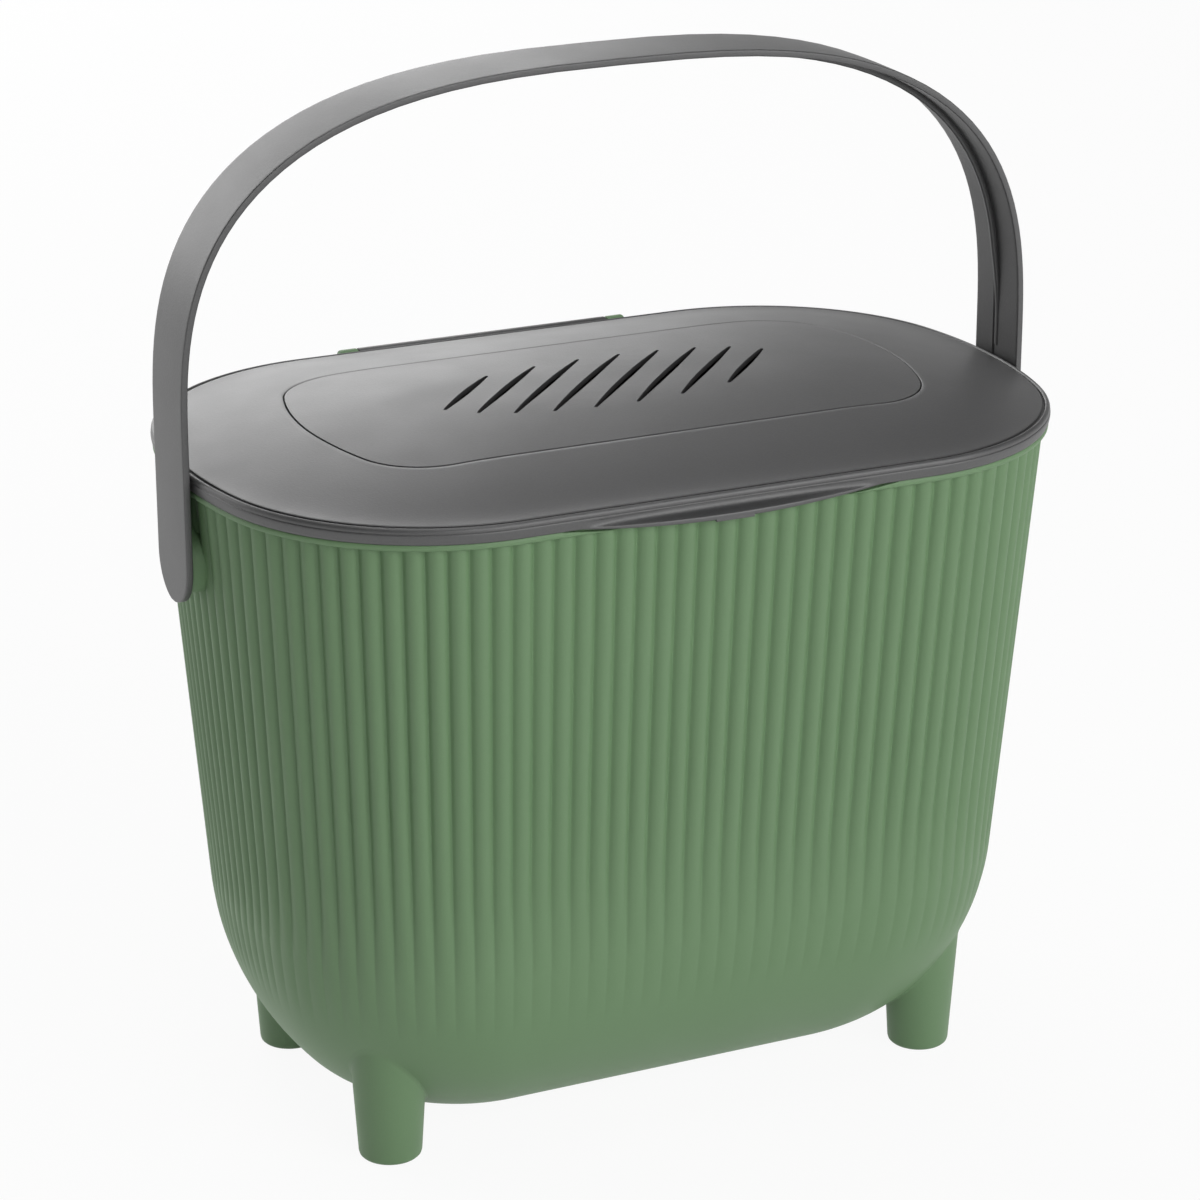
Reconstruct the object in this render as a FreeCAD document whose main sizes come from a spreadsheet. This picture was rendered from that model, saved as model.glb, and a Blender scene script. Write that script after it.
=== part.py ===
"""Kitchen compost caddy: bucket on four feet, hinged lid with a carbon filter, swinging strap handle.

Millimetres. X runs along the length, Y from front to back, Z up. The pieces are drawn about the bucket's
own middle, and each one's placement then moves it forward, so that the origin is on the floor under the
middle of the whole object's box.
"""

import FreeCAD
import Part

import math
import os

from FreeCAD import Placement, Rotation, Vector

SIZES = [
    # plan of the lid's edge, which the other outlines are set in from
    ("lid_length", 301.2),
    ("lid_depth", 194.0),
    ("corner_radius", 76.0),
    ("end_radius", 170.0),
    ("corner_ease", 0.64),
    ("least_corner_rise", 3.0),
    # bucket
    ("rim_height", 229.0),
    ("rim_inset", 0.6),
    ("rim_edge", 0.8),
    ("rim_band", 1.8),
    ("rim_overhang", 1.6),
    ("wall", 2.4),
    ("wall_draft", 4.46),
    ("base_run", 59.0),
    ("base_rise", 78.0),
    ("base_level", 4.3),
    ("base_clearance", 6.7),
    ("floor_thickness", 2.6),
    ("base_steps", 7),
    # upright grooves between the ribs of the wall
    ("rib_count", 118),
    ("groove_radius", 1.6),
    ("groove_depth", 1.1),
    ("groove_bottom", 52.0),
    ("groove_margin", 0.5),
    # feet
    ("foot_inset_long", 49.8),
    ("foot_inset_short", 49.8),
    ("foot_radius", 10.6),
    ("foot_top_radius", 14.4),
    ("foot_height", 62.0),
    ("foot_edge", 2.0),
    # hinge
    ("hinge_setback", 5.2),
    ("hinge_rise", 0.6),
    ("hinge_span", 109.8),
    ("ear_width", 6.7),
    ("ear_radius", 3.9),
    ("ear_root", 4.0),
    ("barrel_radius", 3.9),
    ("barrel_gap", 0.3),
    ("leaf_thickness", 2.2),
    ("leaf_drop", 1.4),
    ("leaf_root", 1.8),
    ("pin_radius", 1.5),
    ("pin_clearance", 0.05),
    ("pin_seat_clearance", 0.02),
    ("pin_recess", 1.0),
    ("pin_chamfer", 0.3),
    # lid
    ("skirt_height", 4.2),
    ("skirt_taper", 0.6),
    ("skirt_belly", 2.4),
    ("bead_side", 0.2),
    ("bead_inset", 1.2),
    ("bead_height", 1.2),
    ("crease_inset", 2.2),
    ("dome_inset", 2.9),
    ("dome_step", 1.3),
    ("dome_height", 9.9),
    ("dome_power", 1.8),
    ("dome_steps", 6),
    ("dome_flat", 7.0),
    ("lid_wall", 2.2),
    # finger scoop and catch at the lid's front
    ("lip_length", 105.4),
    ("lip_drop", 3.0),
    ("lip_rise", 2.4),
    ("lip_thickness", 1.8),
    ("seat_gap", 0.4),
    ("scoop_margin", 0.8),
    ("scoop_depth", 3.0),
    ("notch_margin", 0.4),
    ("catch_width", 13.5),
    ("catch_drop", 0.9),
    ("catch_thickness", 1.2),
    # filter tray, cover and pad
    ("panel_inset_long", 43.8),
    ("panel_inset_short", 43.8),
    ("panel_corner", 26.0),
    ("panel_end_radius", 110.0),
    ("panel_gap", 0.4),
    ("tray_wall", 1.8),
    ("tray_floor", 2.0),
    ("tray_lift", 0.4),
    ("ledge_width", 3.0),
    ("ledge_drop", 3.0),
    ("cover_wall", 2.0),
    ("pad_thickness", 6.0),
    ("pad_gap", 1.0),
    ("grille_margin", 18.0),
    ("grille_pitch", 20.0),
    ("grille_width", 6.0),
    # vent slots in the cover
    ("vent_count", 8),
    ("vent_pitch", 14.0),
    ("vent_shift", 1.2),
    ("vent_slant", -0.11),
    ("vent_angle", 47.0),
    ("vent_length", 69.0),
    ("vent_reach", 61.0),
    ("vent_width", 3.0),
    ("vent_end_width", 1.2),
    # handle and its studs
    ("handle_gap", 0.5),
    ("pivot_drop", 25.8),
    ("leg_rise", 41.3),
    ("arch_rise", 111.3),
    ("handle_squareness", 2.81),
    ("handle_points", 9),
    ("strap_width", 28.0),
    ("strap_thickness", 2.5),
    ("strap_rib_width", 2.0),
    ("strap_rib_height", 2.0),
    ("strap_rib_lift", 35.5),
    ("boss_radius", 11.5),
    ("boss_depth", 8.1),
    ("boss_gap", 0.3),
    ("socket_skin", 0.6),
    ("stud_radius", 4.0),
    ("stud_clearance", 0.05),
    ("stud_end_gap", 0.2),
    ("stud_head_radius", 8.0),
    ("stud_head", 2.0),
]

doc = FreeCAD.newDocument("compost_caddy")
sheet = doc.addObject("Spreadsheet::Sheet", "sizes")
for row, (alias, value) in enumerate(SIZES, start=1):
    sheet.set(f"A{row}", alias)
    sheet.set(f"B{row}", str(value))
    sheet.setAlias(f"B{row}", alias)
doc.recompute()


def size(alias):
    return float(sheet.get(alias))


def count(alias):
    return int(round(size(alias)))


def cell(text):
    """Turns words that are cell aliases in a formula into references to the sheet."""
    names = {alias for alias, _ in SIZES}
    words = text.replace("(", " ( ").replace(")", " ) ").split()
    return " ".join(f"sizes.{word}" if word in names else word for word in words)


def bind(thing, **formulas):
    """Binds an object's properties to formulas of the sheet's cells; x, y and z are its place."""
    for name, formula in formulas.items():
        path = f"Placement.Base.{name}" if name in ("x", "y", "z") else name
        thing.setExpression(path, cell(formula))
    return thing


def made(kind, name, **formulas):
    return bind(doc.addObject(kind, name), **formulas)


def along_x(thing):
    """Turns a cylinder so that it runs along +X from its place."""
    thing.Placement = Placement(Vector(), Rotation(Vector(0, 1, 0), 90))
    return thing


def rod_x(name, radius, start, length, y, z):
    """A cylinder along X, from x = start."""
    rod = along_x(doc.addObject("Part::Cylinder", name))
    return bind(rod, Radius=radius, Height=length, x=start, y=y, z=z)


def block(name, x, y, z, length, width, height):
    return made("Part::Box", name, Length=length, Width=width, Height=height, x=x, y=y, z=z)


def drawn(name, shape):
    thing = doc.addObject("Part::Feature", name)
    thing.Shape = shape
    return thing


def loft(name, sections, ruled):
    thing = doc.addObject("Part::Loft", name)
    thing.Sections = sections
    thing.Solid = True
    thing.Ruled = ruled
    return thing


def fuse(name, things):
    thing = doc.addObject("Part::MultiFuse", name)
    thing.Shapes = things
    thing.Refine = True
    return thing


def cut(name, base, tool):
    thing = doc.addObject("Part::Cut", name)
    thing.Base = base
    thing.Tool = tool
    return thing


def common(name, things):
    thing = doc.addObject("Part::MultiCommon", name)
    thing.Shapes = things
    return thing


def trimmed(kind, name, base, edges, amount):
    """Rounds or chamfers some edges of a piece, all by the same amount."""
    thing = doc.addObject(kind, name)
    thing.Base = base
    thing.Edges = [(edge, size(amount), size(amount)) for edge in edges]
    return thing


def extruded(name, profile, direction, length, symmetric=False):
    thing = doc.addObject("Part::Extrusion", name)
    thing.Base = profile
    thing.DirMode = "Custom"
    thing.Dir = direction
    thing.Solid = True
    thing.Symmetric = symmetric
    return bind(thing, LengthFwd=length)


def oblong(half_length, half_depth, corner, end):
    """Where an oblong's corner arc and end arc are centred, and the angle at which they meet."""
    corner_y = half_depth - corner
    end_x = half_length - end
    corner_x = end_x + math.sqrt((end - corner) ** 2 - corner_y ** 2)
    return corner_x, corner_y, end_x, math.atan2(corner_y, corner_x - end_x)


def plan_wire(half_length, half_depth, corner, end, height):
    """Rounded oblong: straight long sides, corner arcs and gently bowed ends, all tangent."""
    corner_x, corner_y, _, join = oblong(half_length, half_depth, corner, end)
    middle = (join + math.pi / 2) / 2

    def point(x, y):
        return Vector(x, y, height)

    def on_corner(angle, side_x, side_y):
        across = corner_x + corner * math.cos(angle)
        back = corner_y + corner * math.sin(angle)
        return point(side_x * across, side_y * back)

    edges = []
    for side in (1, -1):
        last = point(-side * corner_x, side * half_depth)
        first = point(side * corner_x, side * half_depth)
        turned = point(side * corner_x, -side * half_depth)
        tip = point(side * half_length, 0)
        edges.append(Part.LineSegment(last, first))
        edges.append(Part.Arc(first, on_corner(middle, side, side), on_corner(join, side, side)))
        edges.append(Part.Arc(on_corner(join, side, side), tip, on_corner(join, side, -side)))
        edges.append(Part.Arc(on_corner(join, side, -side), on_corner(middle, side, -side), turned))
    return Part.Wire([edge.toShape() for edge in edges])


def inset_oblong(inset):
    """The lid's outline set in by a distance; its corners tighten more slowly than it shrinks."""
    half_depth = size("lid_depth") / 2 - inset
    eased = size("corner_radius") - size("corner_ease") * inset
    corner = min(eased, half_depth - size("least_corner_rise"))
    return size("lid_length") / 2 - inset, half_depth, corner, size("end_radius") - inset


def inset_plan(name, inset, height):
    return drawn(name, plan_wire(*inset_oblong(inset), height))


def quarter_lengths(inset):
    """Lengths of half the long side, the corner and half the end of an inset outline."""
    _, _, corner, end = inset_oblong(inset)
    corner_x, _, _, join = oblong(*inset_oblong(inset))
    return corner_x, corner * (math.pi / 2 - join), end * join


def outline_spot(inset, share, lengths):
    """Point and outward direction at a share of an inset outline, counted from the front's middle."""
    _, half_depth, corner, end = inset_oblong(inset)
    corner_x, corner_y, end_x, join = oblong(*inset_oblong(inset))
    side, turn, tip = lengths
    quarter = int(share * 4)
    along = (share * 4 - quarter) * (side + turn + tip)
    if quarter in (1, 3):
        along = side + turn + tip - along
    if along < side:
        angle = math.pi / 2
        place = Vector(corner_x * along / side, half_depth, 0)
    elif along < side + turn:
        angle = math.pi / 2 - (math.pi / 2 - join) * (along - side) / turn
        place = Vector(corner_x + corner * math.cos(angle), corner_y + corner * math.sin(angle), 0)
    else:
        angle = join * (side + turn + tip - along) / tip
        place = Vector(end_x + end * math.cos(angle), end * math.sin(angle), 0)
    side_x = 1 if quarter < 2 else -1
    side_y = 1 if quarter in (1, 2) else -1
    out = Vector(side_x * math.cos(angle), side_y * math.sin(angle), 0)
    return Vector(side_x * place.x, side_y * place.y, 0), out


def panel_prism(name, growth, bottom, height):
    """An upright block with the filter panel's outline, grown or shrunk all round."""
    wire = plan_wire(
        size("lid_length") / 2 - size("panel_inset_long") + growth,
        size("lid_depth") / 2 - size("panel_inset_short") + growth,
        size("panel_corner") + growth,
        size("panel_end_radius") + growth,
        bottom,
    )
    face = drawn(f"{name}_plan", Part.Face(wire))
    return extruded(name, face, Vector(0, 0, 1), height)


def dome_top_inset():
    return size("lid_depth") / 2 - size("dome_flat")


def crease_height():
    return size("rim_height") + size("skirt_height") + size("dome_step")


def ledge_height():
    """The ledge that the filter cover lies on, below the dome at the panel's long edge."""
    return crease_height() + dome_height_at(size("panel_inset_short")) - size("ledge_drop")


def dome_height_at(inset):
    """Height of the lid's top surface over its crease, at a distance in from the lid's edge."""
    span = dome_top_inset() - size("dome_inset")
    return size("dome_height") * (1 - (1 - (inset - size("dome_inset")) / span) ** size("dome_power"))


def wall_slope():
    return math.tan(math.radians(size("wall_draft")))


def wall_top_edge():
    """Inset and height of the wall's top, under the rim."""
    height = size("rim_height") - size("rim_edge") - size("rim_band")
    return size("rim_inset") + size("rim_overhang"), height


def bucket_form(name, skin, top_edge):
    """Outside of the bucket, or with a skin its inside: a drafted wall over a base of elliptic profile."""
    slope = wall_slope()
    centre = size("base_level") + size("base_rise")
    run = size("base_run") - skin
    rise = size("base_rise") - skin
    start = math.atan(slope * rise / run)
    outer_inset, wall_top = wall_top_edge()
    wall_inset = outer_inset + skin
    wall_foot = centre - rise * math.sin(start)
    foot_inset = wall_inset + slope * (wall_top - wall_foot)
    floor = size("base_clearance") + (size("floor_thickness") if skin else 0)
    end = math.asin((centre - floor) / rise)
    steps = count("base_steps")
    angles = [start + (end - start) * step / (steps - 1) for step in range(steps)]
    reach = foot_inset + run * math.cos(start)
    base = [(reach - run * math.cos(angle), centre - rise * math.sin(angle)) for angle in angles]
    wall = [(foot_inset, wall_foot), (wall_inset, wall_top)] + top_edge(wall_inset, wall_top, slope)
    parts = []
    for part, sections, ruled in (("base", base, False), ("side", wall, True)):
        plans = [inset_plan(f"{name}_{part}_{i}", *section) for i, section in enumerate(sections)]
        parts.append(loft(f"{name}_{part}", plans, ruled))
    return fuse(name, parts)


def rim_edge(inset, height, slope):
    """The rim stands out over the wall, with a slanted underside and a short upright edge."""
    edge = size("rim_height") - size("rim_edge")
    return [(size("rim_inset"), edge), (size("rim_inset"), size("rim_height"))]


def open_mouth(inset, height, slope):
    """The inside goes on at the wall's draft, up through the rim."""
    above = size("rim_height") + size("rim_edge")
    return [(inset - slope * (above - height), above)]


AXIS_Y = "( lid_depth / 2 + hinge_setback )"
AXIS_Z = "( rim_height + hinge_rise )"
PIVOT_Z = "( rim_height - pivot_drop )"
STRAP_INSIDE = "( lid_length / 2 + handle_gap )"
STRAP_OUTSIDE = "( lid_length / 2 + handle_gap + strap_thickness )"
BOSS_FACE = "( lid_length / 2 + handle_gap - boss_gap )"
BOSS_BACK = "( lid_length / 2 + handle_gap - boss_gap - boss_depth )"
TO_MIDDLE = "( lip_thickness - hinge_setback - ear_radius ) / 2"
ROD_ENDS = (1, 3)
CONE_BOTTOM = (3,)
SIDES = (("left", -1), ("right", 1))


def beside(side, near, far):
    """Start of a span along X from near to far on the right, or its mirror image on the left."""
    return near if side > 0 else f"0 - {far}"


def make_grooves():
    """Round rods that lean with the wall, one per rib; the base curves in away from their lower ends."""
    radius = size("groove_radius")
    inset, top = wall_top_edge()
    top = top - size("groove_margin")
    bottom = size("groove_bottom")
    lower_inset = inset + wall_slope() * (top - bottom)
    lengths = quarter_lengths(inset)
    rods = []
    for rib in range(count("rib_count")):
        share = (rib + 0.5) / count("rib_count")
        ends = []
        for end_inset, height in ((lower_inset, bottom), (inset, top)):
            place, out = outline_spot(end_inset, share, lengths)
            ends.append(place + out * (radius - size("groove_depth")) + Vector(0, 0, height))
        lean = ends[1] - ends[0]
        rods.append(Part.makeCylinder(radius, lean.Length, ends[0], lean))
    return drawn("grooves", Part.makeCompound(rods))


def make_bucket():
    outside = bucket_form("bucket_outside", 0, rim_edge)
    inside = bucket_form("bucket_inside", size("wall"), open_mouth)
    feet = []
    for end, along in SIDES:
        for face, across in (("front", -1), ("back", 1)):
            foot = made(
                "Part::Cone",
                f"foot_{face}_{end}",
                Radius1="foot_radius",
                Radius2="foot_top_radius",
                Height="foot_height",
                x=f"{along} * ( lid_length / 2 - foot_inset_long )",
                y=f"{across} * ( lid_depth / 2 - foot_inset_short )",
            )
            feet.append(trimmed("Part::Fillet", f"{foot.Name}_rounded", foot, CONE_BOTTOM, "foot_edge"))
    notch = front_lens("rim_notch", -size("notch_margin"), "lip_thickness + rim_inset + rim_overhang")
    room = fuse("bucket_room", [inside, notch])
    shell = cut("bucket_shell", fuse("bucket_on_feet", [outside] + feet), room)
    added = [cut("ribbed_shell", shell, make_grooves())]
    bores = []
    for end, side in SIDES:
        boss_start = beside(side, BOSS_BACK, BOSS_FACE)
        stud_hole = "stud_radius + stud_clearance"
        added.append(rod_x(f"boss_{end}", "boss_radius", boss_start, "boss_depth", "0", PIVOT_Z))
        bores.append(rod_x(f"stud_hole_{end}", stud_hole, boss_start, "boss_depth", "0", PIVOT_Z))
        ear_start = beside(side, "( hinge_span / 2 - ear_width )", "( hinge_span / 2 )")
        added.append(rod_x(f"ear_{end}", "ear_radius", ear_start, "ear_width", AXIS_Y, AXIS_Z))
        added.append(block(
            f"ear_root_{end}",
            ear_start,
            "lid_depth / 2 - ear_root",
            f"{AXIS_Z} - ear_radius",
            "ear_width",
            "hinge_setback + ear_root",
            "ear_radius - hinge_rise - seat_gap",
        ))
        ear_hole = "pin_radius + pin_seat_clearance"
        bores.append(rod_x(f"ear_hole_{end}", ear_hole, ear_start, "ear_width", AXIS_Y, AXIS_Z))
    return cut("bucket", fuse("bucket_solid", added), fuse("bucket_bores", bores))


def lid_form(name, skin, skirt):
    """The lid's outer form, or with a skin the hollow under it."""
    first = size("dome_inset") + skin
    last = dome_top_inset()
    steps = count("dome_steps")
    insets = [first + (last - first) * step / (steps - 1) for step in range(steps)]
    dome = [(inset, crease_height() + dome_height_at(inset) - skin) for inset in insets]
    parts = []
    for part, sections, ruled in (("dome", dome, False), ("skirt", skirt + dome[:1], True)):
        plans = [inset_plan(f"{name}_{part}_{i}", *section) for i, section in enumerate(sections)]
        parts.append(loft(f"{name}_{part}", plans, ruled))
    return fuse(name, parts)


def lens_face(half_length, bulge_up, bulge_down, place):
    """A pointed oval between two arcs, drawn about its middle along X and then placed."""
    tips = [Vector(-half_length, 0, 0), Vector(half_length, 0, 0)]
    upper = Part.Arc(tips[0], Vector(0, bulge_up, 0), tips[1])
    lower = Part.Arc(tips[1], Vector(0, -bulge_down, 0), tips[0])
    face = Part.Face(Part.Wire([upper.toShape(), lower.toShape()]))
    face.Placement = place
    return face


def slot_face(half_length, half_width, half_end, place):
    """A long oval whose blunt ends are small arcs, drawn about its middle along X and then placed."""
    right = [
        Vector(half_length, half_end, 0),
        Vector(half_length + half_end, 0, 0),
        Vector(half_length, -half_end, 0),
    ]
    left = [Vector(-point.x, -point.y, 0) for point in right]
    arcs = [
        Part.Arc(*right),
        Part.Arc(right[2], Vector(0, -half_width, 0), left[0]),
        Part.Arc(*left),
        Part.Arc(left[2], Vector(0, half_width, 0), right[0]),
    ]
    face = Part.Face(Part.Wire([arc.toShape() for arc in arcs]))
    face.Placement = place
    return face


def front_lens(name, margin, thickness):
    """The lip's outline on the lid's front, set in by a margin, standing upright and grown backward."""
    front = -size("lid_depth") / 2 - size("lip_thickness")
    upright = Placement(Vector(0, front, size("rim_height")), Rotation(Vector(1, 0, 0), 90))
    face = lens_face(
        size("lip_length") / 2 - margin * size("lip_length") / 2 / size("lip_drop"),
        size("lip_rise") - margin,
        size("lip_drop") - margin,
        upright,
    )
    return extruded(name, drawn(f"{name}_plan", face), Vector(0, 1, 0), thickness)


def lid_bodies():
    """The lid's outside and the hollow under it, which the lid and the filter cover share."""
    seat = size("rim_height")
    shoulder = seat + size("skirt_height")
    belly = seat + size("skirt_belly")
    outside = lid_form("lid_outside", 0, [
        (size("skirt_taper"), seat),
        (0, belly),
        (size("bead_side"), shoulder),
        (size("bead_inset"), shoulder + size("bead_height")),
        (size("crease_inset"), shoulder),
    ])
    skin = size("lid_wall")
    inner = size("skirt_taper") + skin
    under = lid_form("lid_under", skin, [(inner, seat - skin), (inner, belly)])
    return outside, under


def make_lid(outside, under):
    seat = size("rim_height")
    above = "dome_height + skirt_height + dome_step"
    tray_bottom = seat + size("tray_lift")
    tray = common("tray_block", [panel_prism("tray_prism", size("tray_wall"), tray_bottom, above), outside])
    barrel_start = "0 - hinge_span / 2 + ear_width + barrel_gap"
    barrel_length = "hinge_span - 2 * ear_width - 2 * barrel_gap"
    solid = fuse("lid_solid", [
        cut("lid_shell", outside, under),
        tray,
        rod_x("barrel", "barrel_radius", barrel_start, barrel_length, AXIS_Y, AXIS_Z),
        block(
            "leaf",
            barrel_start,
            "lid_depth / 2 - leaf_root",
            f"{AXIS_Z} + barrel_radius - leaf_drop - leaf_thickness",
            barrel_length,
            "hinge_setback + leaf_root",
            "leaf_thickness",
        ),
        front_lens("lip", 0, "lip_thickness + rim_inset + rim_overhang - seat_gap"),
        block(
            "catch",
            "0 - catch_width / 2",
            "0 - lid_depth / 2 - lip_thickness",
            "rim_height - lip_drop - catch_drop",
            "catch_width",
            "catch_thickness",
            "catch_drop + lip_drop",
        ),
    ])
    cuts = [
        panel_prism("panel_opening", 0, ledge_height(), above),
        panel_prism("tray_room", -size("ledge_width"), tray_bottom + size("tray_floor"), above),
        rod_x("barrel_hole", "pin_radius + pin_clearance", barrel_start, barrel_length, AXIS_Y, AXIS_Z),
        front_lens("scoop", size("scoop_margin"), "scoop_depth"),
    ]
    grille_room = size("lid_length") - 2 * size("panel_inset_long") - 2 * size("grille_margin")
    gaps = int((grille_room - size("grille_width")) / size("grille_pitch"))
    for slot in range(gaps + 1):
        cuts.append(block(
            f"grille_{slot}",
            f"{slot - gaps / 2} * grille_pitch - grille_width / 2",
            "panel_inset_short + grille_margin - lid_depth / 2",
            "rim_height",
            "grille_width",
            "lid_depth - 2 * panel_inset_short - 2 * grille_margin",
            "tray_lift + tray_floor + pad_gap",
        ))
    return cut("lid", solid, fuse("lid_cuts", cuts))


def make_hinge_pin():
    length = "hinge_span - 2 * pin_recess"
    rod = rod_x("hinge_rod", "pin_radius", "0 - hinge_span / 2 + pin_recess", length, AXIS_Y, AXIS_Z)
    return trimmed("Part::Chamfer", "hinge_pin", rod, ROD_ENDS, "pin_chamfer")


def make_filter_cover(outside):
    above = "dome_height + skirt_height + dome_step"
    ledge = ledge_height()
    plate = common("cover_block", [panel_prism("cover_prism", -size("panel_gap"), ledge, above), outside])
    skin = size("cover_wall")
    hollow = common("cover_hollow", [
        panel_prism("cover_room", -size("panel_gap") - size("ledge_width"), ledge - skin, above),
        lid_form("cover_under", skin, [(size("dome_inset") + skin, size("rim_height"))]),
    ])
    cuts = [hollow]
    middle = (count("vent_count") - 1) / 2
    turn = Rotation(Vector(0, 0, 1), size("vent_angle"))
    for slot in range(count("vent_count")):
        along = (slot - middle) * size("vent_pitch")
        half_length = size("vent_length") / 2 * math.sqrt(1 - (along / size("vent_reach")) ** 2)
        place = Vector(size("vent_shift") + along, size("vent_slant") * along, ledge)
        half_end = size("vent_end_width") / 2
        face = slot_face(half_length - half_end, size("vent_width") / 2, half_end, Placement(place, turn))
        cuts.append(extruded(f"vent_{slot}", drawn(f"vent_{slot}_plan", face), Vector(0, 0, 1), above))
    return cut("filter_cover", plate, fuse("cover_cuts", cuts))


def make_filter_pad():
    bottom = size("rim_height") + size("tray_lift") + size("tray_floor")
    return panel_prism("filter_pad", -size("ledge_width") - size("pad_gap"), bottom, "pad_thickness")


def arch_points(offset, lift):
    """Points of the arch, right to left, set in from its outer face: a squared-off half ellipse."""
    half_width = size("lid_length") / 2 + size("handle_gap") + size("strap_thickness")
    spring = size("rim_height") - size("pivot_drop") + size("leg_rise")
    rise = size("arch_rise")
    square = size("handle_squareness")
    lowest = lift / rise
    steps = count("handle_points")
    right = []
    for step in range(steps + 1):
        up = math.sin(math.pi / 2 * (lowest + (1 - lowest) * step / steps) ** (square / 2)) ** (2 / square)
        across = max(0, 1 - up ** square) ** (1 / square)
        normal = Vector(across ** (square - 1) / half_width, 0, up ** (square - 1) / rise).normalize()
        right.append(Vector(half_width * across, 0, spring + rise * up) - normal * offset)
    left = [Vector(-point.x, 0, point.z) for point in reversed(right[:-1])]
    return right + left


def arch_edge(points):
    curve = Part.BSplineCurve()
    curve.interpolate(points)
    return curve.toShape()


def band_face(outer, inner):
    """The area between two arches."""
    edges = [arch_edge(outer), arch_edge(inner)]
    edges.extend(Part.LineSegment(outer[i], inner[i]).toShape() for i in (0, -1))
    return Part.Face(Part.Wire(Part.__sortEdges__(edges)))


def make_handle():
    thickness = size("strap_thickness")
    strap = band_face(arch_points(0, 0), arch_points(thickness, 0))
    lift = size("strap_rib_lift")
    rib_top = thickness + size("strap_rib_height")
    rib = band_face(arch_points(thickness / 2, lift), arch_points(rib_top, lift))
    return fuse("handle", [
        extruded("strap", drawn("strap_profile", strap), Vector(0, 1, 0), "strap_width", symmetric=True),
        extruded("rib", drawn("rib_profile", rib), Vector(0, 1, 0), "strap_rib_width", symmetric=True),
    ])


def make_handle_end(end, side):
    """The strap's straight lower end, with a round tip and a blind socket for its stud."""
    start = beside(side, STRAP_INSIDE, STRAP_OUTSIDE)
    leg = block(
        f"leg_{end}",
        start,
        "0 - strap_width / 2",
        PIVOT_Z,
        "strap_thickness",
        "strap_width",
        "leg_rise",
    )
    tip = rod_x(f"strap_tip_{end}", "strap_width / 2", start, "strap_thickness", "0", PIVOT_Z)
    socket = rod_x(
        f"socket_{end}",
        "stud_radius + stud_clearance",
        beside(side, STRAP_INSIDE, f"( {STRAP_OUTSIDE} - socket_skin )"),
        "strap_thickness - socket_skin",
        "0",
        PIVOT_Z,
    )
    return cut(f"handle_end_{end}", fuse(f"handle_end_{end}_solid", [leg, tip]), socket)


def make_stud(end, side):
    tip = f"( {STRAP_OUTSIDE} - socket_skin - stud_end_gap )"
    shaft = rod_x(
        f"stud_shaft_{end}",
        "stud_radius",
        beside(side, BOSS_BACK, tip),
        f"{tip} - {BOSS_BACK}",
        "0",
        PIVOT_Z,
    )
    head = rod_x(
        f"stud_head_{end}",
        "stud_head_radius",
        beside(side, f"( {BOSS_BACK} - stud_head )", BOSS_BACK),
        "stud_head",
        "0",
        PIVOT_Z,
    )
    return fuse(f"pivot_stud_{end}", [shaft, head])


def make_nodes():
    outside, under = lid_bodies()
    nodes = [
        make_bucket(),
        make_lid(outside, under),
        make_hinge_pin(),
        make_filter_cover(outside),
        make_filter_pad(),
        make_handle(),
    ]
    for end, side in SIDES:
        nodes.append(make_handle_end(end, side))
        nodes.append(make_stud(end, side))
    return nodes


def faulty(thing):
    return any(word in thing.State for word in ("Invalid", "Error"))


nodes = make_nodes()
for node in nodes:
    bind(node, y=TO_MIDDLE)
doc.recompute()

failed = [thing.Name for thing in doc.Objects if faulty(thing)]
if failed:
    raise RuntimeError(f"these did not build: {failed}")

os.makedirs("parts", exist_ok=True)
for node in nodes:
    node.Label = node.Name
    shape = node.Shape
    if shape.isNull() or not shape.isValid() or len(shape.Solids) != 1:
        raise RuntimeError(f"{node.Label} is not one valid solid: {len(shape.Solids)}")
    print(f"{node.Label}: {shape.Volume / 1000:.1f} cm3, {len(shape.Faces)} faces")
    shape.exportStep(f"parts/{node.Label}.step")
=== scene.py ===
"""Kitchen compost caddy: ribbed green bucket on four feet, grey domed lid with a filter, grey strap handle.

The mouldings are drawn in millimetres about the bucket's own middle, then set in the frame, in metres.
"""

import math

import bmesh
import bpy
from mathutils import Matrix, Vector
from mathutils.bvhtree import BVHTree


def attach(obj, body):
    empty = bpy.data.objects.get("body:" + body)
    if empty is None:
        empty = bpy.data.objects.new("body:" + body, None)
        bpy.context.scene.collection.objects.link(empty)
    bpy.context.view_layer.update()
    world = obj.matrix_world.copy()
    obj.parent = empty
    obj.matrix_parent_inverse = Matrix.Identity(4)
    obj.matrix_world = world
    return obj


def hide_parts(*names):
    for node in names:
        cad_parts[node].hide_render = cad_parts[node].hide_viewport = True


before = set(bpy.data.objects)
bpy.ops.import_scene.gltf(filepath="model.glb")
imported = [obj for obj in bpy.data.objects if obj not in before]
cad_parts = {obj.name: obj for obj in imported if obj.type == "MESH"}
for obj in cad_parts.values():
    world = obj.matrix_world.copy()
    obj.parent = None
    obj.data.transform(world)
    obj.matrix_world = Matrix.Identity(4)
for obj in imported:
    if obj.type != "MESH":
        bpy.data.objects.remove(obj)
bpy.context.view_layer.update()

MM = 0.001
FORWARD = -3.65
INTO_FRAME = Matrix.Translation((0, FORWARD * MM, 0)) @ Matrix.Scale(MM, 4)
FULL_TURN = 2 * math.pi
QUARTER_TURN = math.pi / 2
# how far the middle of a rounded edge lies from both its faces, as a share of its size
EDGE_KNEE = 0.3

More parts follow.
